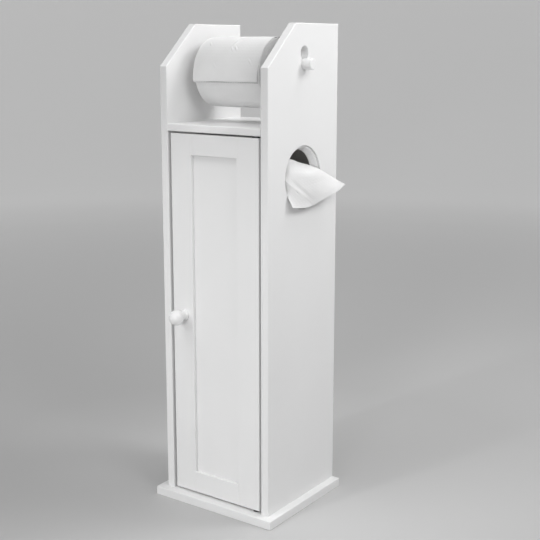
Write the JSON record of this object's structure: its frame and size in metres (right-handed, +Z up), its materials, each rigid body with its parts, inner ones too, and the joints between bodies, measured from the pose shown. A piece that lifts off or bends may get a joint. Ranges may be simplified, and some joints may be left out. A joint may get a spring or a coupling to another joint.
{
  "type": "freestanding toilet roll holder cabinet",
  "caption": "Tall narrow cabinet on a base plate: a toilet roll on a lift-out rod above a shelf, a panelled door with a ball knob, and a round side hole that feeds paper from a spare roll.",
  "frame": {"origin": "centre of the base plate's underside, on the floor", "axes": "+X to the right, +Y to the back, +Z up; the door faces -Y and the paper hole faces +X"},
  "size_m": [0.2185, 0.195, 0.678],
  "materials": {
    "painted_board": "satin white paint on fibreboard",
    "knob_paint": "semi-gloss white paint on turned wood",
    "hardboard": "thin white-faced hardboard",
    "steel": "bright zinc-plated steel",
    "zinc": "die-cast zinc",
    "dowel_wood": "plain beech",
    "nylon": "dark grey nylon",
    "catch_plastic": "white moulded plastic",
    "magnet": "dark ferrite",
    "paper": "soft white tissue",
    "card": "grey-brown wound card"
  },
  "bodies": {
    "carcass": {"base_plate": "painted_board", "side_panel_left": "painted_board", "side_panel_right": "painted_board", "hole_ring": "knob_paint", "top_shelf": "painted_board", "inner_shelf": "painted_board", "shelf_pins": "steel", "back_panel": "hardboard", "base_screws": "steel", "base_dowels": "dowel_wood", "shelf_dowels": "dowel_wood", "cam_bolts": "steel", "cam_nuts": "zinc", "hinge_pin_lower": "steel", "hinge_pin_upper": "steel", "catch_housing": "catch_plastic", "catch_magnet": "magnet", "catch_screws": "steel", "spare_core": "card", "spare_roll": "paper", "pulled_sheet": "paper"},
    "door": {"door_stile_left": "painted_board", "door_stile_right": "painted_board", "door_rail_top": "painted_board", "door_rail_bottom": "painted_board", "door_panel": "painted_board", "door_knob": "knob_paint", "knob_screw": "steel", "hinge_bush_lower": "nylon", "hinge_bush_upper": "nylon", "strike_plate": "steel", "strike_screw": "steel"},
    "rod": {"roll_rod": "knob_paint"},
    "roll": {"roll_core": "card", "paper_roll": "paper"}
  },
  "joints": [
    {"name": "door_hinge", "type": "hinge", "parent": "carcass", "child": "door", "pos_m": [0.0665, -0.0706, 0.273], "axis": [0, 0, 1], "range_deg": [0, 110]},
    {"name": "rod_lift", "type": "slide", "parent": "carcass", "child": "rod", "axis": [0, 0, 1], "range_m": [0, 0.015]},
    {"name": "roll_spin", "type": "hinge", "parent": "rod", "child": "roll", "pos_m": [-0.004, 0.006, 0.6123], "axis": [1, 0, 0], "continuous": true}
  ]
}
